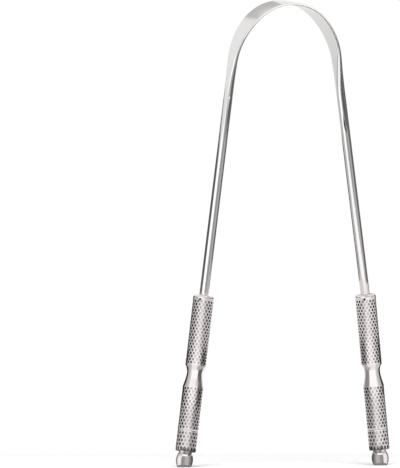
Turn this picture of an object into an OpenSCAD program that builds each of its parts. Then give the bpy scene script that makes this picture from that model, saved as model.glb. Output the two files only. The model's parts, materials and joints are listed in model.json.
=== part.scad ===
// Tongue scraper: one springy steel wire bent to a U, its crown pressed flat to a
// scraping strip, with a knurled grip and a beaded end plug pressed on each tail.
// It stands on the two flat feet at z = 0. X runs across the legs, Y is depth,
// and the origin is at floor level, in the middle of the tool.

/* [Wire frame] */
// Height of the standing tool, from the feet to the top of the strip
tool_h = 155.5; // [135:0.5:190]
// Diameter of the round wire of the legs
wire_d = 3; // [2.4:0.1:3.6]
// Angle between each leg and the upright, in degrees
leg_splay = 8.05; // [5:0.05:11]

/* [Scraper loop] */
// Radius of the crown of the loop, at the middle of the strip's thickness
crown_r = 18.4; // [14:0.1:24]
// Angle that the crown's arc turns on each side, in degrees
crown_arc = 42.3; // [36:0.1:50]
// Radius of the flanks that lead from the crown to the straight legs
flank_r = 24.4; // [18:0.1:32]
// Width of the pressed strip at the crown
strip_w = 9.8; // [7:0.1:12]
// Thickness of the pressed strip at the crown
strip_t = 0.85; // [0.6:0.05:1.2]
// Length of wire from the top of the crown to where it is fully round
press_l = 37; // [34:0.5:42]
// Depth below the crown at which the loop starts to bend forward
bend_h = 25; // [18:0.5:34]
// How far the crown stands forward of the legs
bend_out = 1.3; // [0.5:0.1:3]

/* [Flex] */
// Length of strip from the top of the crown to where each leg flexes
flex_l = 12.5; // [10:0.5:15]

/* [Grips] */
// Outer diameter of a grip over the knurl
grip_d = 7; // [6.4:0.1:9]
// Length of a grip from its mouth to the seam of the end plug
grip_l = 46.9; // [42:0.1:60]
// Turn of the left grip inwards from its leg, in degrees
left_toe_in = 0.3; // [0:0.1:3]
// Turn of the right grip inwards from its leg, in degrees
right_toe_in = 2; // [0:0.1:3]
// Diameter of the flat rim round the wire at the mouth
mouth_d = 4.4; // [4.1:0.1:5.2]
// Radius of the rounded shoulder between the mouth and the collar
shoulder_r = 2; // [1:0.1:2.2]
// Length of the plain collar, from the mouth to the first knurl
collar_l = 2.6; // [2.4:0.1:5]
// Length of the upper knurl
upper_knurl_l = 20.6; // [14:0.1:22]
// Length of the smooth waist between the two knurls
waist_l = 8.2; // [6:0.1:9]
// Diameter at the narrowest place of the waist
waist_d = 5.1; // [4.6:0.1:5.8]
// Length of the plain groove at the lower end of a grip
groove_l = 1.9; // [1:0.1:3]
// Diameter at the bottom of that groove
groove_d = 6.5; // [6:0.1:6.6]
// Diameter of the wire's tail inside a grip, drawn down so that the leg stops on the mouth
tail_d = 2.8; // [2.1:0.1:2.8]
// Free length of bore between the wire's tail and the end plug's spigot
tail_gap = 1.9; // [0.5:0.1:6]

/* [Knurl] */
// Number of diamonds round a grip
knurl_count = 17; // [12:1:22]
// Length of one diamond along the grip
knurl_pitch = 2; // [1.6:0.1:3]
// Depth of the knurl's pits
knurl_depth = 0.3; // [0.15:0.05:0.4]

/* [End plugs] */
// Length of the knurled part of an end plug
plug_knurl_l = 5.1; // [3:0.1:8]
// Length of the chamfer between that knurl and the neck
plug_chamfer_l = 1.1; // [0.6:0.1:2]
// Diameter of the fine neck above the bead
neck_d = 4.8; // [4.2:0.1:5.2]
// Length of that neck
neck_l = 0.3; // [0.2:0.1:0.8]
// Length of the bead from the neck to the middle of its foot
bead_l = 4.6; // [3.5:0.1:6]
// Greatest diameter of the bead
bead_d = 5.7; // [5.4:0.1:6.2]
// Height of the bead's widest ring above its foot, along the grip
bead_rise = 2.6; // [1.6:0.1:3.2]
// Radius of the bead's curved side
bead_side_r = 7.2; // [5:0.1:12]
// Length of the spigot that is pressed into the grip
spigot_l = 7; // [4:0.5:7.5]

/* [Stake marks] */
// Diameter of the punched mark that locks each collar on the wire
stake_d = 1; // [0.6:0.1:1.2]
// Depth of that mark
stake_depth = 0.4; // [0.2:0.05:0.5]
// Distance of the mark's middle from the mouth
stake_drop = 1.7; // [1.5:0.1:2]
// Turn of the marks from the front towards the left, in degrees
stake_turn = 30; // [0:5:90]

/* [Fits] */
// Interference on the diameter where wire and spigot are pressed in
press_fit = 0.02; // [0.01:0.01:0.04]
// Running clearance at the flexing line of the strip
flex_gap = 0.05; // [0.03:0.01:0.08]

/* [Hidden] */
$fn = 64;

// Overrun of every cutting tool beyond the surface that it cuts
cut_over = 1;
left = -1;
right = 1;

// Arc lengths and angles of the loop's middle line, from the top of the crown
end_arc = 90 - leg_splay;
crown_l = crown_r * crown_arc * PI / 180;
loop_l = crown_l + flank_r * (end_arc - crown_arc) * PI / 180;

// Ring spacing and points of the swept strip
ring_step = 1.5;
edge_points = 12;

// Forward lean of the strip at the top of the crown, and the crown's height
top_lean = atan(2 * bend_out / bend_h);
crown_z = tool_h - strip_t / 2 - (strip_w - strip_t) / 2 * sin(top_lean);

// Grip axes: angle from the upright, length to the foot and place of the mouth
left_tilt = leg_splay - left_toe_in;
right_tilt = leg_splay - right_toe_in;
plug_l = plug_knurl_l + plug_chamfer_l + neck_l + bead_l;
axis_l = grip_l + plug_l;
function tilt(side) = side == left ? left_tilt : right_tilt;
function mouth_z(side) = axis_l * cos(tilt(side));
function mouth_s(side) = loop_l + (crown_z - depth(loop_l) - mouth_z(side)) / cos(leg_splay);
function mouth_x(side) = reach(mouth_s(side));

// Places along a grip, from its mouth
waist_at = collar_l + upper_knurl_l;
lower_knurl_at = waist_at + waist_l;
groove_at = grip_l - groove_l;
lower_knurl_l = groove_at - lower_knurl_at;
plug_at = grip_l;
plug_neck_at = plug_at + plug_knurl_l + plug_chamfer_l;
bead_at = plug_neck_at + neck_l;
bore_d = tail_d - press_fit;

// Ball of the punch that leaves a mark of the stated diameter and depth
stake_r = (stake_d * stake_d / 4 + stake_depth * stake_depth) / (2 * stake_depth);

// Radius of the solid core under the knurl, length of the wire's tail in the bore,
// and radius of the knurl's edge at a chamfer
core_r = grip_d / 2 - 2 * knurl_depth;
tail_l = grip_l - spigot_l - tail_gap;
knurl_edge_r = (grip_d - knurl_depth) / 2;

// The concave waist is an arc through the two knurl ends and the narrowest place
waist_dip = (grip_d - waist_d) / 2;
waist_r = (waist_l * waist_l / 4 + waist_dip * waist_dip) / (2 * waist_dip);
waist_steps = 16;
shoulder_steps = 6;
bead_steps = 14;

// The whole tool is moved so that the origin is the middle of its width, and of the depth
// from the front edge of the crown to the backs of the grips
knurl_low = plug_at + plug_knurl_l;
function outer_x(side) = mouth_x(side) + knurl_low * sin(tilt(side)) + grip_d / 2 * cos(tilt(side));
front_y = bend_out + (strip_w - strip_t) / 2 * cos(top_lean) + strip_t / 2;
shift = [(outer_x(left) - outer_x(right)) / 2, (front_y - grip_d / 2) / 2, 0];

// Middle line of the wire: turn of the tangent, reach from the middle and depth below the crown
function turn(s) = s <= crown_l ? s / crown_r * 180 / PI
    : s <= loop_l ? crown_arc + (s - crown_l) / flank_r * 180 / PI
    : end_arc;
function reach(s) = s <= crown_l ? crown_r * sin(turn(s))
    : s <= loop_l ? crown_r * sin(crown_arc) + flank_r * (sin(turn(s)) - sin(crown_arc))
    : reach(loop_l) + (s - loop_l) * cos(end_arc);
function depth(s) = s <= crown_l ? crown_r * (1 - cos(turn(s)))
    : s <= loop_l ? crown_r * (1 - cos(crown_arc)) + flank_r * (cos(crown_arc) - cos(turn(s)))
    : depth(loop_l) + (s - loop_l) * sin(end_arc);

// Forward bend of the loop above the bend's start: set forward, and the angle there
function bend_rise(s) = max(0, bend_h - depth(s));
function forward(s) = bend_out * pow(bend_rise(s) / bend_h, 2);
function lean(s) = atan(2 * bend_out * bend_rise(s) / (bend_h * bend_h));

// Arc length from which the wire is both round and straight, past the press and both bends
bend_end_l = loop_l + (bend_h - depth(loop_l)) / sin(end_arc);
formed_l = max(press_l, loop_l, bend_end_l);

// Pressing: 0 where the strip is flat, 1 where the wire is round again, a trace thinner
// than the part that the press never touched
press_mark = wire_d / 100;
function ease(x) = x * x * (3 - 2 * x);
function round_share(s) = ease(min(1, pow(s / press_l, 2)));
function width(s) = strip_w * pow((wire_d - press_mark) / strip_w, round_share(s));
function thick(s) = strip_t * pow((wire_d - press_mark) / strip_t, round_share(s));

// Middle point, direction of the width and direction of the outer face at arc length s
function middle(side, s) = [side * reach(s), -forward(s), crown_z - depth(s)];
function across(s) = [0, cos(lean(s)), sin(lean(s))];
function outward(side, s) = [side * sin(turn(s)), -cos(turn(s)) * sin(lean(s)),
                             cos(turn(s)) * cos(lean(s))];

// Section of the pressed wire: flat faces and half-round edges
function section(s) = [for (edge = [1, -1], i = [0:edge_points - 1])
    let (a = 180 * (i + 1 / 2) / edge_points - 90 * edge,
         flat = (width(s) - thick(s)) / 2)
    [edge * flat + thick(s) / 2 * cos(a), thick(s) / 2 * sin(a)]];
function ring(side, s) = [for (p = section(s))
    middle(side, s) + across(s) * p[0] + outward(side, s) * p[1]];

// Solid through a list of rings, each ring with as many points
module skin(rings) {
    n = len(rings[0]);
    last = len(rings) - 1;
    walls = [for (i = [0:last - 1], j = [0:n - 1])
        let (a = i * n + j, b = i * n + (j + 1) % n, c = a + n, d = b + n)
        each [[a, b, d], [a, d, c]]];
    start_cap = [for (j = [n - 1:-1:0]) j];
    end_cap = [for (j = [0:n - 1]) last * n + j];
    polyhedron([for (r = rings) each r], [each walls, start_cap, end_cap]);
}

// Strip and wire between two arc lengths on one side
module swept_side(side, from_s, to_s) {
    steps = ceil((to_s - from_s) / ring_step);
    forth = [for (i = [0:steps]) ring(side, from_s + (to_s - from_s) * i / steps)];
    back = [for (i = [steps:-1:0]) forth[i]];
    skin(side == left ? forth : back);
}

// Round bar along the flexing line
module flex_bar(side, bar_d, bar_l) {
    translate(middle(side, flex_l))
        rotate([lean(flex_l) - 90, 0, 0])
            cylinder(d = bar_d, h = bar_l, center = true);
}

// Places its children on a grip's axis: the mouth at 0, down the grip along +Z
module on_grip(side) {
    translate([side * mouth_x(side), 0, mouth_z(side)])
        rotate([0, 180 - side * tilt(side), 0])
            children();
}

// Band of diamond knurl: pits and points alternate, round the band and along it
module knurl_band(from_z, band_l) {
    cols = 2 * knurl_count;
    rows = 2 * round(band_l / knurl_pitch);
    rings = [for (i = [0:rows]) [for (j = [0:cols - 1])
        let (run_out = i == 0 || i == rows, pit = run_out || (i + j) % 2 == 0,
             r = grip_d / 2 - (pit ? knurl_depth : 0), a = 360 * j / cols)
        [r * cos(a), r * sin(a), from_z + band_l * i / rows]]];
    walls = [for (i = [0:rows - 1], j = [0:cols - 1])
        let (a = i * cols + j, b = i * cols + (j + 1) % cols, c = a + cols, d = b + cols)
        each ((i + j) % 2 == 0 ? [[a, d, b], [a, c, d]] : [[a, c, b], [b, c, d]])];
    start_cap = [for (j = [0:cols - 1]) j];
    end_cap = [for (j = [cols - 1:-1:0]) rows * cols + j];
    polyhedron([for (r = rings) each r], [each walls, start_cap, end_cap]);
}

// Flattened crown of the wire, the edge that scrapes
module scraper_strip() {
    steps = ceil(flex_l / ring_step);
    rings = [for (i = [-steps:steps]) ring(i < 0 ? left : right, flex_l * abs(i) / steps)];
    color("gainsboro") translate(shift) difference() {
        skin([for (i = [2 * steps:-1:0]) rings[i]]);
        for (side = [left, right])
            flex_bar(side, thick(flex_l) + 2 * flex_gap, strip_w + 2 * cut_over);
    }
}

// Tail's start inside the leg, and lift of the leg's end that clears the tilted mouth
tail_start = wire_d / 4;
function stop_lift(side) = wire_d / 2 * tan(leg_splay - tilt(side)) + flex_gap;

// One leg: end of the strip, the part where it turns round, the straight wire and its tail
module leg_wire(side) {
    color("silver") translate(shift) {
        swept_side(side, flex_l, formed_l + wire_d / 2);
        flex_bar(side, thick(flex_l) - flex_gap, width(flex_l) - thick(flex_l));
        translate(middle(side, formed_l))
            rotate([0, 180 - side * leg_splay, 0])
                cylinder(d = wire_d, h = mouth_s(side) - formed_l - stop_lift(side));
        on_grip(side)
            translate([0, 0, -tail_start]) cylinder(d = tail_d, h = tail_l + tail_start);
    }
}
module left_leg_wire() { leg_wire(left); }
module right_leg_wire() { leg_wire(right); }

// Half outline of a grip from the mouth to the seam, turned about the axis
function shoulder_line() = [for (i = [0:shoulder_steps])
    let (a = 90 * i / shoulder_steps)
    [mouth_d / 2 + (grip_d - mouth_d) / 2 * sin(a), shoulder_r * (1 - cos(a))]];
function waist_line() = [for (i = [0:waist_steps])
    let (z = waist_l * (i / waist_steps - 1 / 2))
    [waist_d / 2 + waist_r - sqrt(waist_r * waist_r - z * z), waist_at + waist_l / 2 + z]];

// Tubular grip: rounded shoulder, collar, knurl, waist, knurl and groove, bored through
module grip(side) {
    color("lightgray") translate(shift) on_grip(side) difference() {
        union() {
            rotate_extrude() polygon([
                [0, 0], each shoulder_line(), [grip_d / 2, collar_l],
                [core_r, collar_l], [core_r, waist_at],
                each waist_line(), [core_r, lower_knurl_at], [core_r, groove_at],
                [groove_d / 2, groove_at], [groove_d / 2, grip_l], [0, grip_l]]);
            knurl_band(collar_l, upper_knurl_l);
            knurl_band(lower_knurl_at, lower_knurl_l);
        }
        translate([0, 0, -cut_over]) cylinder(d = bore_d, h = grip_l + 2 * cut_over);
        rotate([0, 0, stake_turn - 90])
            translate([grip_d / 2 - stake_depth + stake_r, 0, stake_drop])
                sphere(r = stake_r);
    }
}
module left_grip() { grip(left); }
module right_grip() { grip(right); }

// Start of the core inside the plug's knurl
core_at = plug_at + plug_knurl_l / 2;

// Half outline of the plug's bead, from the neck to past the foot
bead_over = grip_d / 2 * tan(leg_splay) + cut_over;
function bead_line() = [for (i = [0:bead_steps])
    let (z = (bead_l + bead_over) * i / bead_steps, h = z - (bead_l - bead_rise))
    [bead_d / 2 - bead_side_r + sqrt(bead_side_r * bead_side_r - h * h), bead_at + z]];

// End plug: spigot, knurled collar, fine neck and bead, cut level at the foot
module end_plug(side) {
    color("silver") translate(shift) difference() {
        on_grip(side) union() {
            rotate_extrude() polygon([
                [0, plug_at - spigot_l], [tail_d / 2, plug_at - spigot_l], [tail_d / 2, core_at],
                [core_r, core_at], [core_r, knurl_low], [knurl_edge_r, knurl_low],
                [neck_d / 2, plug_neck_at], [neck_d / 2, bead_at], each bead_line(),
                [0, bead_at + bead_l + bead_over]]);
            knurl_band(plug_at, plug_knurl_l);
        }
        translate([-tool_h, -tool_h, -tool_h]) cube([2 * tool_h, 2 * tool_h, tool_h]);
    }
}
module left_end_plug() { end_plug(left); }
module right_end_plug() { end_plug(right); }

scraper_strip();
left_leg_wire();
right_leg_wire();
left_grip();
right_grip();
left_end_plug();
right_end_plug();
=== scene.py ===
import json
import math

import bmesh
import bpy
from mathutils import Matrix, Vector


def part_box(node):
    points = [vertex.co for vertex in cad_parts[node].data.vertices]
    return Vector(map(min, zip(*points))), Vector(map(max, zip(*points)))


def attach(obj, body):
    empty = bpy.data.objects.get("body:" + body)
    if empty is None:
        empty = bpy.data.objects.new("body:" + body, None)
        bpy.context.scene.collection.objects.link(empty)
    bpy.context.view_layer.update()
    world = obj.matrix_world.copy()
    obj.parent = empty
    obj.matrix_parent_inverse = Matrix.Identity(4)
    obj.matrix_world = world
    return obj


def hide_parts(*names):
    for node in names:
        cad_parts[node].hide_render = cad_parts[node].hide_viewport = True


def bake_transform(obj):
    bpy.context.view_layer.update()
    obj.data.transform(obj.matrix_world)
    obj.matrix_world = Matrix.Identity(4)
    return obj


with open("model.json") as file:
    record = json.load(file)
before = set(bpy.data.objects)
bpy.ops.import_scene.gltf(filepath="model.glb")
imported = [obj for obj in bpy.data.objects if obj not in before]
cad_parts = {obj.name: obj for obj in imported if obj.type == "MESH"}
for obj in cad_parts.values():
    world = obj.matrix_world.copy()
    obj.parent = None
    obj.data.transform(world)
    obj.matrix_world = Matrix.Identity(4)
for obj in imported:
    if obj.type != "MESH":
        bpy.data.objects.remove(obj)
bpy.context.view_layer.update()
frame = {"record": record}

# Wire frame
# One length of 3 mm stainless spring wire. Its middle is pressed flat to the strip that
# scrapes, then it is bent to a U and the loop is set a little forward. The two halves
# meet at the top of the crown.
mm = 0.001
left, right = -1, 1
wire_d = 3.0 * mm
tail_d = 2.78 * mm
tail_l = 38 * mm
strip_w = 9.8 * mm
strip_t = 0.85 * mm
crown_r = 18.4 * mm
crown_arc = math.radians(42.3)
flank_r = 24.4 * mm
leg_splay = math.radians(8.05)
press_l = 43 * mm
press_fade = 1.74
press_mark = wire_d / 100
bend_h = 25 * mm
bend_out = 1.3 * mm
end_arc = math.pi / 2 - leg_splay
crown_l = crown_r * crown_arc
loop_l = crown_l + flank_r * (end_arc - crown_arc)
top_lean = math.atan(2 * bend_out / bend_h)

strip_low, strip_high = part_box("scraper_strip")
mount_at = {m["name"]: Vector(m["pos_m"]) for m in frame["record"]["mounts"]}
middle_x = (strip_low.x + strip_high.x) / 2
legs_y = mount_at["left_foot"].y
crown_z = strip_high.z - strip_t / 2 - (strip_w - strip_t) / 2 * math.sin(top_lean)


def turn(run):
    """Turn of the wire from level, at a length of wire from the top of the crown."""
    if run <= crown_l:
        return run / crown_r
    return min(end_arc, crown_arc + (run - crown_l) / flank_r)


def reach_and_depth(run):
    """Distance of the wire from the middle of the tool, and below the top of the crown."""
    if run <= crown_l:
        return crown_r * math.sin(turn(run)), crown_r * (1 - math.cos(turn(run)))
    if run <= loop_l:
        return (crown_r * math.sin(crown_arc)
                + flank_r * (math.sin(turn(run)) - math.sin(crown_arc)),
                crown_r * (1 - math.cos(crown_arc))
                + flank_r * (math.cos(crown_arc) - math.cos(turn(run))))
    reach, depth = reach_and_depth(loop_l)
    return (reach + (run - loop_l) * math.cos(end_arc),
            depth + (run - loop_l) * math.sin(end_arc))


def wire_point(side, run):
    """Middle of the wire, at a length of wire from the top of the crown."""
    reach, depth = reach_and_depth(run)
    forward = bend_out * (max(0, bend_h - depth) / bend_h) ** 2
    return Vector((middle_x + side * reach, legs_y - forward, crown_z - depth))


def wire_axes(side, run):
    """Directions across the strip, out of its outer face and along it, as columns."""
    depth = reach_and_depth(run)[1]
    lean = math.atan(2 * bend_out * max(0, bend_h - depth) / bend_h ** 2)
    across = Vector((0, math.cos(lean), math.sin(lean)))
    outward = Vector((side * math.sin(turn(run)),
                      -math.cos(turn(run)) * math.sin(lean),
                      math.cos(turn(run)) * math.cos(lean)))
    return Matrix((across, outward, across.cross(outward))).transposed()


def wire_section(run):
    """Width and thickness of the wire: pressed flat at the crown, round at the legs."""
    way = min(1, (run / press_l) ** press_fade)
    round_share = way * way * (3 - 2 * way)
    return (strip_w * ((wire_d - press_mark) / strip_w) ** round_share,
            strip_t * ((wire_d - press_mark) / strip_t) ** round_share)


# Each section is a plane with its corners rounded, and the loops are bridged in a row.
# The corners stop just short of meeting, so that all loops have as many points.
ring_step = 0.5 * mm
seam_step = 0.02 * mm
mouth_gap = 0.3 * mm
corner_share = 0.49
corner_cuts = 9
wire_smooth = math.radians(40)
blend_from = 5 * mm
blend_to = 20 * mm


def add_wire_ring(side, run, width, thick):
    """A flat ring of the wire's width and thickness, in the mesh that is being built."""
    centre, axes = wire_point(side, run), wire_axes(side, run)
    bpy.ops.mesh.primitive_plane_add(size=1, location=centre, rotation=axes.to_euler())
    if bpy.context.mode == "OBJECT":
        bpy.ops.object.transform_apply()
        bpy.ops.object.mode_set(mode="EDIT")
        bpy.ops.mesh.select_all(action="SELECT")
    bpy.ops.transform.resize(value=(width, thick, 1), orient_type="LOCAL", orient_matrix=axes,
                             orient_matrix_type="LOCAL", center_override=centre)
    bpy.ops.mesh.bevel(offset=corner_share * thick, segments=corner_cuts, profile=0.5,
                       affect="VERTICES")


def build_half_frame(name, side, mouth, tail_dir):
    """Half of the wire, from the top of the crown to the end of its tail in the grip."""
    mouth_run = loop_l + (wire_point(side, loop_l).z - mouth.z) / math.cos(leg_splay)
    bpy.ops.object.select_all(action="DESELECT")
    steps = round(press_l / ring_step)
    runs = [0, seam_step] + [ring_step * i for i in range(1, steps + 1)]
    for run in runs:
        add_wire_ring(side, run, *wire_section(run))
    stop_run = mouth_run - mouth_gap
    for run, thick in ((press_l + ring_step, wire_d), (stop_run - ring_step, wire_d),
                       (stop_run, wire_d), (stop_run + seam_step, tail_d)):
        add_wire_ring(side, run, thick + press_mark, thick)
    bpy.ops.mesh.select_all(action="SELECT")
    bpy.ops.mesh.delete(type="ONLY_FACE")
    bpy.ops.mesh.select_all(action="SELECT")
    bpy.ops.mesh.bridge_edge_loops(type="SINGLE")
    bpy.ops.mesh.select_all(action="SELECT")
    bpy.ops.mesh.fill_holes(sides=0)
    half = bpy.context.object
    half.name = half.data.name = name
    # The end face at the mouth is drawn out to the tail
    mesh = bmesh.from_edit_mesh(half.data)
    for face in mesh.faces:
        face.select_set(len(face.verts) > 4 and face.calc_center_median().z < crown_z / 2)
    bmesh.update_edit_mesh(half.data)
    bpy.ops.mesh.extrude_region_move(TRANSFORM_OT_translate={"value": tail_dir * tail_l})
    bpy.ops.mesh.select_all(action="SELECT")
    bpy.ops.mesh.normals_make_consistent(inside=False)
    bpy.ops.object.mode_set(mode="OBJECT")
    bpy.ops.object.shade_smooth_by_angle(angle=wire_smooth)
    bpy.ops.object.modifier_add(type="WEIGHTED_NORMAL")
    half.modifiers[-1].keep_sharp = True
    bpy.ops.object.modifier_apply(modifier=half.modifiers[-1].name)
    return half


# Grip axes: each runs up from its foot, turned inwards a little from its leg
toe_in = {left: math.radians(0.3), right: math.radians(2)}
tilt = {side: leg_splay - toe_in[side] for side in (left, right)}
grip_l = 45.4 * mm
plug_l = 12.2 * mm
foot = {left: mount_at["left_foot"], right: mount_at["right_foot"]}
down = {side: Vector((side * math.sin(tilt[side]), 0, -math.cos(tilt[side])))
        for side in (left, right)}
mouth = {side: foot[side] - down[side] * (grip_l + plug_l) for side in (left, right)}

left_half = build_half_frame("left_half_frame", left, mouth[left], down[left])
right_half = build_half_frame("right_half_frame", right, mouth[right], down[right])
for half, side, leg in ((left_half, left, "left_leg"), (right_half, right, "right_leg")):
    wire_point(side, blend_from)
    wire_point(side, blend_to)
    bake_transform(half)
    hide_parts("scraper_strip", leg + "_wire")


# The steel is drawn and polished. Fine lines run along it, seen as a faint change of
# roughness and a shallow bump. The group gives both, from any position it is fed.
line_detail = 3.0
cloud_scale = 0.12
cloud_detail = 4.0
line_height = 0.004 * mm
line_strength = 0.35
scale_along = 60
scale_across = 9000


def new_group(name, inputs, outputs):
    """A shader node group with its input and output nodes."""
    group = bpy.data.node_groups.new(name, "ShaderNodeTree")
    for socket, kind, value in inputs:
        made = group.interface.new_socket(socket, in_out="INPUT", socket_type=kind)
        if value is not None:
            made.default_value = value
    for socket, kind in outputs:
        group.interface.new_socket(socket, in_out="OUTPUT", socket_type=kind)
    return group, group.nodes.new("NodeGroupInput"), group.nodes.new("NodeGroupOutput")


def new_math(tree, operation, *values):
    """A Math node whose inputs are sockets or plain numbers."""
    node = tree.nodes.new("ShaderNodeMath")
    node.operation = operation
    for i, value in enumerate(values):
        if isinstance(value, (int, float)):
            node.inputs[i].default_value = value
        else:
            tree.links.new(value, node.inputs[i])
    return node.outputs[0]


def new_range(tree, value, low, high, to_low=0.0, to_high=1.0):
    """A smooth step of a value from one range to another."""
    node = tree.nodes.new("ShaderNodeMapRange")
    node.interpolation_type = "SMOOTHSTEP"
    tree.links.new(value, node.inputs["Value"])
    for name, number in (("From Min", low), ("From Max", high),
                         ("To Min", to_low), ("To Max", to_high)):
        node.inputs[name].default_value = number
    return node.outputs[0]


steel_lines, lines_in, lines_out = new_group(
    "steel_lines", [("Vector", "NodeSocketVector", None)],
    [("Height", "NodeSocketFloat"), ("Cloud", "NodeSocketFloat")])
for output, scale, detail in (("Height", 1.0, line_detail), ("Cloud", cloud_scale, cloud_detail)):
    noise = steel_lines.nodes.new("ShaderNodeTexNoise")
    noise.inputs["Scale"].default_value = scale
    noise.inputs["Detail"].default_value = detail
    steel_lines.links.new(lines_in.outputs["Vector"], noise.inputs["Vector"])
    steel_lines.links.new(noise.outputs["Fac"], lines_out.inputs[output])


def new_steel(name, base_color):
    """A metal material, with its tree, its shader and its object's own coordinates."""
    material = bpy.data.materials.new(name)
    material.use_nodes = True
    tree = material.node_tree
    shader = tree.nodes["Principled BSDF"]
    shader.inputs["Metallic"].default_value = 1.0
    shader.inputs["Base Color"].default_value = (*base_color, 1)
    return material, tree, shader, tree.nodes.new("ShaderNodeTexCoord").outputs["Object"]


def new_mapping(tree, vector, **values):
    """A position moved, turned or scaled by a Mapping node's named inputs."""
    mapping = tree.nodes.new("ShaderNodeMapping")
    for name, value in values.items():
        mapping.inputs[name].default_value = value
    tree.links.new(vector, mapping.inputs["Vector"])
    return mapping.outputs[0]


def draw_lines(tree, shader, vector):
    """Gives a material the bump of the steel's lines, and returns their cloud."""
    group = tree.nodes.new("ShaderNodeGroup")
    group.node_tree = steel_lines
    tree.links.new(vector, group.inputs["Vector"])
    bump = tree.nodes.new("ShaderNodeBump")
    bump.inputs["Distance"].default_value = line_height
    bump.inputs["Strength"].default_value = line_strength
    tree.links.new(group.outputs["Height"], bump.inputs["Height"])
    tree.links.new(bump.outputs["Normal"], shader.inputs["Normal"])
    return group.outputs["Cloud"]


# The legs are polished, and the pressed strip is satin from the press and the buffing.
# The lines are fine across Y and long both other ways, so they follow the wire all the way
# round the loop.
wire_color = (0.70, 0.69, 0.685)
wire_rough = 0.04
press_rough = 0.06
cloud_rough = 0.12
wire_steel, tree, shader, place = new_steel("wire_steel", wire_color)
cloud = draw_lines(tree, shader, new_mapping(
    tree, place, Scale=(scale_along, scale_across, scale_along)))
split = tree.nodes.new("ShaderNodeSeparateXYZ")
tree.links.new(place, split.inputs[0])
pressed = new_range(tree, split.outputs["Z"], crown_z - press_l, crown_z - press_l / 2)
satin = new_math(tree, "MULTIPLY_ADD", pressed, press_rough, wire_rough)
rough = new_math(tree, "MULTIPLY_ADD", cloud, cloud_rough, satin)
tree.links.new(rough, shader.inputs["Roughness"])
for half in (left_half, right_half):
    half.data.materials.append(wire_steel)

# Grips
# Two sleeves turned from 7 mm stainless bar, bored for the wire's tail and pressed on it.
# Each has a rounded shoulder with a stake mark, a long rolled knurl, a smooth waist for the
# fingers that is deepest near its top, a second knurl and a fine groove where it ends.
grip_r = 3.48 * mm
bore_r = 1.395 * mm
shoulder_r = 0.85 * mm
collar_l = 1.5 * mm
upper_knurl_l = 21.85 * mm
waist_l = 7.3 * mm
waist_low = 2.7 * mm
waist_r = 2.57 * mm
waist_powers = (2.1, 1.5)
groove_l = 0.35 * mm
groove_r = 3.3 * mm
knurl_count = 17
knurl_pitch = 2 * mm
knurl_end_share = 0.68
pit_w = 1.28 * mm
pit_wall_w = 0.05 * mm
pit_depth = 0.8 * mm
rim_dip = 0.09 * mm
stake_column = -4
stake_w = 1.28 * mm
stake_depth = 0.4 * mm
round_over = 0.12 * mm
turned_smooth = math.radians(50)
near_station = 0.03 * mm
columns = 2 * knurl_count


def lathe(name, stations):
    """A turned body from (distance, radius) stations, left open at both ends."""
    bpy.ops.object.select_all(action="DESELECT")
    start, start_r = stations[0]
    bpy.ops.mesh.primitive_circle_add(vertices=columns, radius=start_r, location=(0, 0, start),
                                      rotation=(0, 0, math.pi / columns))
    bpy.ops.object.transform_apply()
    body = bpy.context.object
    body.name = body.data.name = name
    bpy.ops.object.mode_set(mode="EDIT")
    bpy.ops.mesh.select_all(action="SELECT")
    for (z0, r0), (z1, r1) in zip(stations, stations[1:]):
        bpy.ops.mesh.extrude_region_move(TRANSFORM_OT_translate={"value": (0, 0, z1 - z0)})
        bpy.ops.transform.resize(value=(r1 / r0, r1 / r0, 1), center_override=(0, 0, z1))
    return body


def knurl_line(band_z, band_l, end_in=0):
    """Stations of a knurled band, half a pitch apart and closer at its ends."""
    rows = 2 * round(band_l / knurl_pitch)
    step = band_l / (rows - 2 + 2 * knurl_end_share)
    line = [(band_z + step * (knurl_end_share + i), grip_r) for i in range(rows - 1)]
    return [(band_z, grip_r), *line, (band_z + band_l, grip_r - end_in)]


def roll_knurl(body, line, stake=None):
    """Rolls a knurl into a band: a round pit at every second crossing of rows and columns."""
    rows = len(line) - 1

    def sink(chosen, width, dip, depth):
        """Opens a small square round each chosen crossing and sinks it to a pit."""
        mesh = bmesh.from_edit_mesh(body.data)
        bpy.ops.mesh.select_mode(type="VERT")
        bpy.ops.mesh.select_all(action="DESELECT")
        for vert in mesh.verts:
            row = min(range(rows + 1), key=lambda i: abs(line[i][0] - vert.co.z))
            column = round(math.atan2(vert.co.y, vert.co.x) / (2 * math.pi) * columns)
            station_z, station_r = line[row]
            on_band = (abs(vert.co.z - station_z) < near_station
                       and abs(vert.co.xy.length - station_r) < near_station)
            vert.select_set(on_band and chosen(row, column))
        mesh.select_flush_mode()
        bmesh.update_edit_mesh(body.data)
        bpy.ops.mesh.bevel(offset=width / 2, affect="VERTICES", segments=1)
        bpy.ops.mesh.select_mode(type="FACE")
        bpy.ops.transform.resize(value=(1 - dip / grip_r, 1 - dip / grip_r, 1),
                                 center_override=(0, 0, 0))
        bpy.ops.transform.edge_crease(value=1)
        bpy.ops.mesh.inset(thickness=pit_wall_w, depth=-depth, use_individual=True)
        bpy.ops.transform.edge_crease(value=1)
        bpy.ops.mesh.select_mode(type="VERT")

    sink(lambda row, column: 0 < row < rows and (row + column) % 2 == 0, pit_w, rim_dip,
         pit_depth)
    if stake is not None:
        sink(lambda row, column: row == 0 and column == stake, stake_w, 0, stake_depth)


def finish_turned(body):
    """Rounds a turned body off and shades it smooth."""
    bpy.ops.object.mode_set(mode="OBJECT")
    bpy.ops.object.modifier_add(type="SUBSURF")
    body.modifiers[-1].levels = body.modifiers[-1].render_levels = 1
    bpy.ops.object.modifier_apply(modifier=body.modifiers[-1].name)
    bpy.ops.object.shade_smooth_by_angle(angle=turned_smooth)


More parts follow.
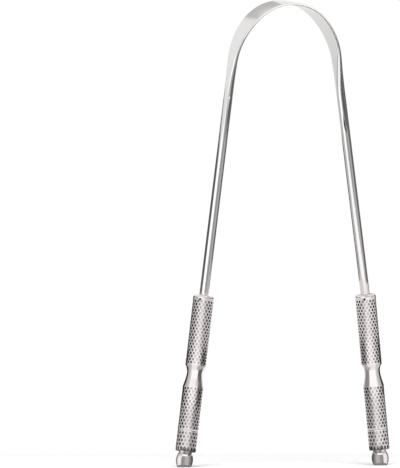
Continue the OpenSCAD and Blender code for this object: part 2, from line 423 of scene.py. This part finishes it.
def place_on_axis(body, side):
    """Puts a turned body on its grip's axis, its zero at the mouth."""
    body.matrix_world = (Matrix.Translation(mouth[side])
                         @ Matrix.Rotation(math.pi - side * tilt[side], 4, "Y"))
    bpy.ops.object.select_all(action="DESELECT")
    body.select_set(True)
    bpy.context.view_layer.objects.active = body
    bpy.ops.object.transform_apply()


def copy_of(body, name):
    """A second piece with a mesh of its own."""
    twin = body.copy()
    twin.data = body.data.copy()
    twin.name = twin.data.name = name
    bpy.context.scene.collection.objects.link(twin)
    return twin


upper_knurl_z = collar_l
waist_z = upper_knurl_z + upper_knurl_l
lower_knurl_z = waist_z + waist_l
groove_z = grip_l - groove_l
lower_knurl_l = groove_z - lower_knurl_z
shoulder_cuts = 4
waist_cuts = 10

shoulder_line = []
for i in range(shoulder_cuts + 1):
    angle = math.pi / 2 * i / shoulder_cuts
    shoulder_line.append((shoulder_r * (1 - math.cos(angle)),
                          grip_r - shoulder_r * (1 - math.sin(angle))))
waist_line = []
for i in range(1, waist_cuts):
    z = waist_l * i / waist_cuts
    if z < waist_low:
        rise = (1 - z / waist_low) ** waist_powers[0]
    else:
        rise = ((z - waist_low) / (waist_l - waist_low)) ** waist_powers[1]
    waist_line.append((waist_z + z, waist_r + (grip_r - waist_r) * rise))

upper_knurl = knurl_line(upper_knurl_z, upper_knurl_l)
lower_knurl = knurl_line(lower_knurl_z, lower_knurl_l)
grip_stations = [
    (round_over, bore_r), (0, bore_r), (0, bore_r + round_over),
    (0, grip_r - shoulder_r - round_over),
    *shoulder_line,
    *upper_knurl, (waist_z + round_over, grip_r - round_over / 2),
    *waist_line, (lower_knurl_z - round_over, grip_r - round_over / 2),
    *lower_knurl,
    (groove_z + round_over, groove_r + round_over / 2), (groove_z + 2 * round_over, groove_r),
    (grip_l - round_over, groove_r), (grip_l, groove_r), (grip_l, groove_r - round_over),
    (grip_l, bore_r + round_over), (grip_l, bore_r), (grip_l - round_over, bore_r)]
grip = lathe("left_knurled_grip", grip_stations)
bpy.ops.mesh.select_all(action="DESELECT")
bpy.ops.mesh.select_non_manifold(extend=False, use_wire=False, use_multi_face=False,
                                 use_non_contiguous=False, use_verts=False)
bpy.ops.mesh.bridge_edge_loops()
bpy.ops.mesh.select_all(action="SELECT")
bpy.ops.mesh.normals_make_consistent(inside=False)
roll_knurl(grip, upper_knurl, stake_column)
roll_knurl(grip, lower_knurl)
finish_turned(grip)
right_grip = copy_of(grip, "right_knurled_grip")
right_grip.data.transform(Matrix.Rotation(-2 * math.pi / columns, 4, "Z"))
for body, side, leg, node in ((grip, left, "left_leg", "left_grip"),
                              (right_grip, right, "right_leg", "right_grip")):
    place_on_axis(body, side)
    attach(body, leg)
    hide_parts(node)

# Painted shade: the walls of a knurl's pits are darkened nearly black, and their floors much less.
# The group is fed a place on the grip's axis, and says how dark the painted shade is within one
# band. The depths of the dark walls and of the lighter floors are counted from the grip's surface.
band_edge = 0.4 * mm
shade_from = 0.08 * mm
shade_full = 0.14 * mm
pit_floor_from = 0.62 * mm
pit_floor_full = 0.70 * mm
pit_floor_shade = 0.22
pit_painted_shade, pit_in, pit_out = new_group(
    "pit_painted_shade",
    [("Vector", "NodeSocketVector", None), ("Start", "NodeSocketFloat", 0.0),
     ("End", "NodeSocketFloat", 0.0)],
    [("PitShade", "NodeSocketFloat")])
split = pit_painted_shade.nodes.new("ShaderNodeSeparateXYZ")
pit_painted_shade.links.new(pit_in.outputs["Vector"], split.inputs[0])
square = new_math(pit_painted_shade, "MULTIPLY", split.outputs["X"], split.outputs["X"])
squares = new_math(pit_painted_shade, "MULTIPLY_ADD", split.outputs["Y"], split.outputs["Y"], square)
radius = new_math(pit_painted_shade, "SQRT", squares)
below_rim = new_range(pit_painted_shade, radius, grip_r - shade_full, grip_r - shade_from, 1.0, 0.0)
above_floor = new_range(pit_painted_shade, radius, grip_r - pit_floor_full, grip_r - pit_floor_from,
                        pit_floor_shade, 1.0)
pit_shade = new_math(pit_painted_shade, "MULTIPLY", below_rim, above_floor)
for first, second in ((split.outputs["Z"], pit_in.outputs["Start"]),
                      (pit_in.outputs["End"], split.outputs["Z"])):
    beyond = new_math(pit_painted_shade, "SUBTRACT", first, second)
    within = new_math(pit_painted_shade, "MULTIPLY_ADD", beyond, 1 / band_edge, 0.5)
    within.node.use_clamp = True
    pit_shade = new_math(pit_painted_shade, "MULTIPLY", pit_shade, within)
pit_painted_shade.links.new(pit_shade, pit_out.inputs["PitShade"])

steel_color = (0.72, 0.71, 0.705)
# Near-black colour of the painted shade in the knurl's pits, and the roughness that goes with it
pit_shade_color = (0.03, 0.028, 0.028)
turned_rough = 0.09
turned_cloud_rough = 0.10
pit_shade_rough = 0.20


def knurl_steel(name, side, bands):
    """Steel of a turned piece. Its lines run round the axis, and its pits are darkened with
    painted shade.
    """
    material, tree, shader, place = new_steel(name, steel_color)
    onto_axis = Matrix.Rotation(math.pi - side * tilt[side], 4, "Y").inverted()
    on_axis = new_mapping(tree, place, Location=onto_axis @ -mouth[side],
                          Rotation=onto_axis.to_euler())
    cloud = draw_lines(tree, shader, new_mapping(
        tree, on_axis, Scale=(scale_along, scale_along, scale_across)))
    pit_shade = 0.0
    for start, end in bands:
        pits = tree.nodes.new("ShaderNodeGroup")
        pits.node_tree = pit_painted_shade
        pits.inputs["Start"].default_value = start
        pits.inputs["End"].default_value = end
        tree.links.new(on_axis, pits.inputs["Vector"])
        pit_shade = new_math(tree, "MAXIMUM", pits.outputs["PitShade"], pit_shade)
    color = tree.nodes.new("ShaderNodeMix")
    color.data_type = "RGBA"
    color.inputs["A"].default_value = (*steel_color, 1)
    color.inputs["B"].default_value = (*pit_shade_color, 1)
    tree.links.new(pit_shade, color.inputs["Factor"])
    tree.links.new(color.outputs["Result"], shader.inputs["Base Color"])
    pit_rough = new_math(tree, "MULTIPLY_ADD", pit_shade, pit_shade_rough, turned_rough)
    rough = new_math(tree, "MULTIPLY_ADD", cloud, turned_cloud_rough, pit_rough)
    tree.links.new(rough, shader.inputs["Roughness"])
    return material


for body, side, name in ((grip, left, "left_grip_steel"), (right_grip, right, "right_grip_steel")):
    body.data.materials.append(
        knurl_steel(name, side, ((upper_knurl_z - stake_w / 2, waist_z),
                                 (lower_knurl_z, groove_z))))

# End plugs
# Each closes the lower end of a grip. A spigot is pressed into the bore, a short knurled
# collar butts on the grip, and below a fine neck is a bead, ground flat where it stands.
plug_knurl_l = 6.75 * mm
plug_end_in = 0.1 * mm
plug_chamfer_l = 0.2 * mm
plug_chamfer_in = 0.15 * mm
neck_r = 2.15 * mm
neck_l = 0.25 * mm
bead_r = 2.87 * mm
bead_rise = 2.4 * mm
bead_side_r = 4.4 * mm
spigot_l = 7 * mm
foot_over = 1.0 * mm
cut_near = mm / 1000
chamfer_z = grip_l + plug_knurl_l
neck_z = chamfer_z + plug_chamfer_l
bead_z = neck_z + neck_l
bead_l = grip_l + plug_l - bead_z
bead_cuts = 10
bead_line = []
for i in range(bead_cuts + 1):
    z = (bead_l + foot_over) * i / bead_cuts
    below_widest = z - (bead_l - bead_rise)
    bead_line.append((bead_z + z, bead_r - bead_side_r
                      + math.sqrt(bead_side_r ** 2 - below_widest ** 2)))
plug_knurl = knurl_line(grip_l, plug_knurl_l, plug_end_in)
plug_stations = [
    (grip_l - spigot_l, bore_r - round_over), (grip_l - spigot_l + round_over, bore_r),
    (grip_l - round_over, bore_r), (grip_l, bore_r + round_over), (grip_l, grip_r - round_over),
    *plug_knurl, (neck_z - round_over, grip_r - plug_chamfer_in),
    (neck_z, neck_r + round_over), (neck_z + round_over / 2, neck_r), (bead_z, neck_r),
    *bead_line]
plug = lathe("left_plug", plug_stations)
bpy.ops.mesh.select_all(action="SELECT")
bpy.ops.mesh.fill_holes(sides=0)
bpy.ops.mesh.normals_make_consistent(inside=False)
roll_knurl(plug, plug_knurl)
finish_turned(plug)
right_plug = copy_of(plug, "right_plug")
for body, side, leg, node in ((plug, left, "left_leg", "left_end_plug"),
                              (right_plug, right, "right_leg", "right_end_plug")):
    place_on_axis(body, side)
    bpy.ops.object.mode_set(mode="EDIT")
    bpy.ops.mesh.select_all(action="SELECT")
    bpy.ops.mesh.bisect(plane_co=(0, 0, 0), plane_no=(0, 0, 1), use_fill=True, clear_inner=True,
                        threshold=cut_near)
    bpy.ops.object.mode_set(mode="OBJECT")
    bpy.ops.object.shade_smooth_by_angle(angle=turned_smooth)
    body.data.materials.append(knurl_steel(node + "_steel", side, ((grip_l, chamfer_z),)))
    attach(body, leg)
    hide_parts(node)

# Studio
# A white world, a round white floor, and tents and cards of white and grey paper, which only
# the reflections see. The camera stands a little to the left of the tool.
camera_turn = math.radians(-30)
camera_far = 6.0
frame_h = 156 * mm
frame_side = 28.27 * mm
frame_z = 77.5 * mm
camera_rise = 26 * mm
camera_reach = 20
film_h = 36
sight = Vector((math.sin(camera_turn), -math.cos(camera_turn), 0))
sideways = Vector((math.cos(camera_turn), math.sin(camera_turn), 0))

scene = bpy.context.scene
scene.view_settings.view_transform = "Standard"

# The world is white to the camera and in the metal, and lights the floor only a little
world_light = 0.08
world = bpy.data.worlds.new("white_studio")
scene.world = world
world.use_nodes = True
tree = world.node_tree
lit = tree.nodes["Background"]
seen = tree.nodes.new("ShaderNodeBackground")
for background, strength in ((lit, world_light), (seen, 1.0)):
    background.inputs["Color"].default_value = (1, 1, 1, 1)
    background.inputs["Strength"].default_value = strength
rays = tree.nodes.new("ShaderNodeLightPath")
either = new_math(tree, "MAXIMUM", rays.outputs["Is Camera Ray"], rays.outputs["Is Glossy Ray"])
any_seen = new_math(tree, "MAXIMUM", either, rays.outputs["Is Transmission Ray"])
choice = tree.nodes.new("ShaderNodeMixShader")
tree.links.new(any_seen, choice.inputs[0])
tree.links.new(lit.outputs[0], choice.inputs[1])
tree.links.new(seen.outputs[0], choice.inputs[2])
tree.links.new(choice.outputs[0], tree.nodes["World Output"].inputs["Surface"])

# Floor: a white disc that reads as the background and keeps the tool's contact shadow. A
# share of its white is a glow that only the camera and the reflections see.
floor_r = 250 * mm
floor_points = 96
paper_color = (0.95, 0.95, 0.95)
paper_rough = 0.9
floor_glow = 1.3
glow_share = 0.2
bpy.ops.object.select_all(action="DESELECT")
bpy.ops.mesh.primitive_circle_add(vertices=floor_points, radius=floor_r, fill_type="NGON")
floor = bpy.context.object
floor.name = "floor"
paper = bpy.data.materials.new("white_paper")
paper.use_nodes = True
tree = paper.node_tree
shader = tree.nodes["Principled BSDF"]
shader.inputs["Base Color"].default_value = (*paper_color, 1)
shader.inputs["Roughness"].default_value = paper_rough
glow = tree.nodes.new("ShaderNodeEmission")
glow.inputs["Strength"].default_value = floor_glow
rays = tree.nodes.new("ShaderNodeLightPath")
either = new_math(tree, "MAXIMUM", rays.outputs["Is Camera Ray"], rays.outputs["Is Glossy Ray"])
share = new_math(tree, "MULTIPLY", either, glow_share)
choice = tree.nodes.new("ShaderNodeMixShader")
tree.links.new(share, choice.inputs[0])
tree.links.new(shader.outputs[0], choice.inputs[1])
tree.links.new(glow.outputs[0], choice.inputs[2])
tree.links.new(choice.outputs[0], tree.nodes["Material Output"].inputs["Surface"])
floor.data.materials.append(paper)

# Paper cards and rings, seen by the reflections alone. Those round the grips are a warm
# white. A panel is a turn in degrees and the level of light there.
plain_paper = (1.0, 1.0, 1.0)
warm_paper = (1.0, 0.955, 0.955)
card_points = 64
ring_points = 128


def as_paper(card, stops, share=None, tint=plain_paper):
    """Makes a card glow: at one level, or from stop to stop of a share of its own place."""
    for ray in ("camera", "diffuse", "shadow", "transmission", "volume_scatter"):
        setattr(card, "visible_" + ray, False)
    paper = bpy.data.materials.new(card.name)
    paper.use_nodes = True
    tree = paper.node_tree
    tree.nodes.remove(tree.nodes["Principled BSDF"])
    glow = tree.nodes.new("ShaderNodeEmission")
    tree.links.new(glow.outputs[0], tree.nodes["Material Output"].inputs["Surface"])
    brightest = max(level for _, level in stops)
    glow.inputs["Strength"].default_value = brightest
    glow.inputs["Color"].default_value = (*tint, 1)
    if share:
        coords = tree.nodes.new("ShaderNodeTexCoord")
        split = tree.nodes.new("ShaderNodeSeparateXYZ")
        tree.links.new(coords.outputs["Object"], split.inputs[0])
        ramp = tree.nodes.new("ShaderNodeValToRGB")
        tree.links.new(share(tree, split.outputs["X"], split.outputs["Y"]), ramp.inputs[0])
        elements = ramp.color_ramp.elements
        while len(elements) < len(stops):
            elements.new(0.5)
        for element, (place, level) in zip(elements, stops):
            element.position = place
            element.color = (*(level / brightest * part for part in tint), 1)
        tree.links.new(ramp.outputs["Color"], glow.inputs["Color"])
    card.data.materials.append(paper)


def stand_card(name, start, end, low, high, level):
    """A card of one level that stands from one place of the floor plan to another."""
    along = end - start
    bpy.ops.object.select_all(action="DESELECT")
    bpy.ops.mesh.primitive_plane_add(size=1)
    card = bpy.context.object
    card.name = name
    card.matrix_world = (Matrix.Translation((*(start + end) / 2, (low + high) / 2))
                         @ Matrix.Rotation(math.atan2(along.y, along.x), 4, "Z")
                         @ Matrix.Rotation(math.pi / 2, 4, "X")
                         @ Matrix.Diagonal((along.length, high - low, 1, 1)))
    bpy.ops.object.transform_apply()
    as_paper(card, [(0, level)])


def by_turn(tree, x, y):
    """Share of a whole turn, counted from behind, at a place round a card's own middle."""
    angle = new_math(tree, "ARCTAN2", x, new_math(tree, "MULTIPLY", y, -1))
    return new_math(tree, "MULTIPLY_ADD", angle, 1 / (2 * math.pi), 0.5)


def hang_paper(card, name, place, panels, tint):
    """Names a round card, puts it at its place and paints its panels from turn to turn."""
    card.name = name
    card.matrix_world = place @ Matrix.Rotation(camera_turn, 4, "Z")
    as_paper(card, [((turned + 180) / 360, level) for turned, level in panels], by_turn, tint)


def lay_card(name, place, radius, panels, tint=plain_paper):
    """A round card that lies level. Its panels are at turns from the camera's side."""
    bpy.ops.object.select_all(action="DESELECT")
    bpy.ops.mesh.primitive_circle_add(vertices=card_points, radius=radius, fill_type="NGON")
    hang_paper(bpy.context.object, name, place, panels, tint)


def hang_ring(name, place, radius, low, high, panels, tint=plain_paper):
    """A ring of paper on a place's axis. Its panels are at turns from the camera's side."""
    bpy.ops.object.select_all(action="DESELECT")
    bpy.ops.mesh.primitive_cylinder_add(vertices=ring_points, radius=radius,
                                        depth=high - low, end_fill_type="NOTHING",
                                        location=(0, 0, (low + high) / 2))
    bpy.ops.object.transform_apply()
    hang_paper(bpy.context.object, name, place, panels, tint)


# The large tent's rows, from the floor up, each with its lower and upper edge in mm and its
# panels. The legs and the loop reflect the middle rows, and what leans back the top one.
tent_r = 300 * mm
tent_rows = (
    ("low_row", -40, 50,
     [(-180, 0.4), (-160, 0.06), (-130, 0.06), (-122, 0.5), (-98, 0.65), (-60, 0.75),
      (-48, 1.4), (44, 1.4), (52, 0.9), (76, 0.6), (84, 0.2), (98, 0.2), (130, 0.06),
      (160, 0.06), (180, 0.4)]),
    ("middle_row", 50, 97,
     [(-180, 0.4), (-160, 0.06), (-132, 0.06), (-122, 0.45), (-104, 0.65), (-66, 0.75),
      (-58, 1.3), (-46, 1.6), (-10, 1.6), (-2, 0.6), (8, 0.62), (28, 0.3), (38, 0.45),
      (58, 0.68), (76, 0.6), (84, 0.2), (110, 0.2), (132, 0.06), (160, 0.06), (180, 0.4)]),
    ("upper_row", 97, 165,
     [(-180, 0.6), (-150, 0.2), (-128, 0.12), (-70, 0.12), (-58, 1.2), (-46, 1.6),
      (-10, 1.6), (-2, 0.6), (8, 0.62), (28, 0.3), (38, 0.45), (58, 0.68), (72, 0.5),
      (84, 0.16), (110, 0.15), (150, 0.2), (180, 0.6)]),
    ("high_row", 165, 410, [(-180, 1.0), (-140, 1.1), (-100, 1.1), (0, 1.0), (180, 1.0)]))
for name, low, high, panels in tent_rows:
    hang_ring(name, Matrix(), tent_r, low * mm, high * mm, panels)

# A small tent leans with each grip. Its turns count outwards from the camera's side. A row
# has its lower and upper edge in mm, the level of its front, the turns where the front
# starts on the inner side and where the white ends on the outer side, and for each grip the
# level of the inner panel and that of the outer one.
small_tent_r = 28 * mm
black_paper = 0.03
small_rows = (
    ("lower_ring", -5, 22, 1.15, 22, 124, {left: 0.55, right: 0.55}, {left: 0.6, right: 0.75}),
    ("waist_ring", 22, 41, 1.4, 40, 98, {left: 0.16, right: 0.34}, {left: 0.65, right: 0.65}),
    ("upper_ring", 41, 60, 1.25, 22, 120, {left: 0.8, right: 0.9}, {left: 0.6, right: 0.85}))

# A ring and a card on the floor stand near each bead, and a small grey card round its foot
bead_tent_r = 7 * mm
bead_tent_low = -1 * mm
bead_tent_high = 6.5 * mm
foot_card_r = 9.1 * mm
foot_shade_r = 3.4 * mm
foot_shade_level = 0.3
card_lift = Vector((0, 0, 0.03 * mm))
bead_panels = [
    (-180, 0.08), (-140, 0.08), (-112, 0.14), (-90, 0.3), (-72, 0.36), (-56, 0.58),
    (-41, 0.68), (-12, 0.6), (0, 0.42), (15, 0.42), (29, 0.3), (36, 0.4), (46, 0.8),
    (59, 1.2), (94, 1.2), (117, 0.65), (150, 0.1), (180, 0.08)]


def met_at(turned):
    """Turn at which light from far off, at a turn, would pass the bead's small ring."""
    return turned - math.degrees(math.asin(
        bead_r / bead_tent_r * math.sin(math.radians(turned / 2))))


def on_side(side, panels):
    """Panels that count outwards from the camera's side, as turns for a left or right grip."""
    return sorted((side * turned, level) for turned, level in panels)


for side, name in ((left, "left"), (right, "right")):
    place = Matrix.Translation(foot[side]) @ Matrix.Rotation(-side * tilt[side], 4, "Y")
    for row, low, high, front, inner_edge, outer_edge, inner_levels, outer_levels in small_rows:
        inner, outer = inner_levels[side], outer_levels[side]
        panels = [(-180, 0.15), (-162, 0.5), (-150, 1.0), (-126, 0.95), (-118, inner),
                  (-inner_edge - 14, inner), (-inner_edge - 6, 0.9), (-inner_edge, front),
                  (40, front), (46, 1.2), (60, outer + 0.1), (outer_edge, outer),
                  (outer_edge + 6, 0.3), (outer_edge + 12, black_paper), (170, black_paper),
                  (180, 0.15)]
        hang_ring(name + "_" + row, place, small_tent_r, low * mm, high * mm,
                  on_side(side, panels), warm_paper)
    near_panels = on_side(side, [(met_at(turned), level) for turned, level in bead_panels])
    hang_ring(name + "_bead_ring", place, bead_tent_r, bead_tent_low, bead_tent_high,
              near_panels, warm_paper)
    lay_card(name + "_foot_card", Matrix.Translation(foot[side] + card_lift), foot_card_r,
             near_panels, warm_paper)
    lay_card(name + "_foot_shade", Matrix.Translation(foot[side] + 2 * card_lift),
             foot_shade_r, [(-180, foot_shade_level), (180, foot_shade_level)])

# Cards for the loop, each with its two ends on the floor plan, its lower and upper edge, all
# in mm, and its level. A fifth card, a dark one, lies level before the loop, below the crown.
loop_cards = (
    ("card_behind_loop", (-15, 52), (50, 52), 105, 145, 0.95),
    ("card_before_loop", (-35, -94), (60, -39), 128, 200, 1.6),
    ("card_before_legs", (0, -74), (60, -39), 112, 128, 0.12),
    ("card_over_crown", (-16, 52), (24, 52), 164, 190, 0.6))
for name, start, end, low, high, level in loop_cards:
    stand_card(name, Vector(start) * mm, Vector(end) * mm, low * mm, high * mm, level)
low_card_at = Vector((12, -28, 110)) * mm
low_card_r = 16 * mm
low_card_level = 0.08
lay_card("card_under_loop", Matrix.Translation(low_card_at), low_card_r,
         [(-180, low_card_level), (180, low_card_level)])

# One soft box, high before the tool, gives the floor its light and the feet their shadow
lamp_far = 3.0
lamp_rise = math.radians(46)
lamp_w, lamp_h = 0.9, 1.6
lamp_power = 135
lamp_at = sight * lamp_far * math.cos(lamp_rise) + Vector((0, 0, lamp_far * math.sin(lamp_rise)))
bpy.ops.object.light_add(type="AREA", location=lamp_at,
                         rotation=(-lamp_at).to_track_quat("-Z", "Y").to_euler())
soft_box = bpy.context.object
soft_box.data.shape = "RECTANGLE"
soft_box.data.size = lamp_w
soft_box.data.size_y = lamp_h
soft_box.data.energy = lamp_power
soft_box.visible_glossy = False

camera_data = bpy.data.cameras.new("camera")
camera_data.sensor_fit = "VERTICAL"
camera_data.sensor_height = film_h
camera_data.lens = film_h * camera_far / frame_h
camera_data.clip_end = camera_reach
camera = bpy.data.objects.new("camera", camera_data)
scene.collection.objects.link(camera)
aim = Vector((0, 0, frame_z)) - sideways * frame_side
camera.location = aim + sight * camera_far + Vector((0, 0, camera_rise))
camera.rotation_euler = (aim - camera.location).to_track_quat("-Z", "Y").to_euler()
scene.camera = camera
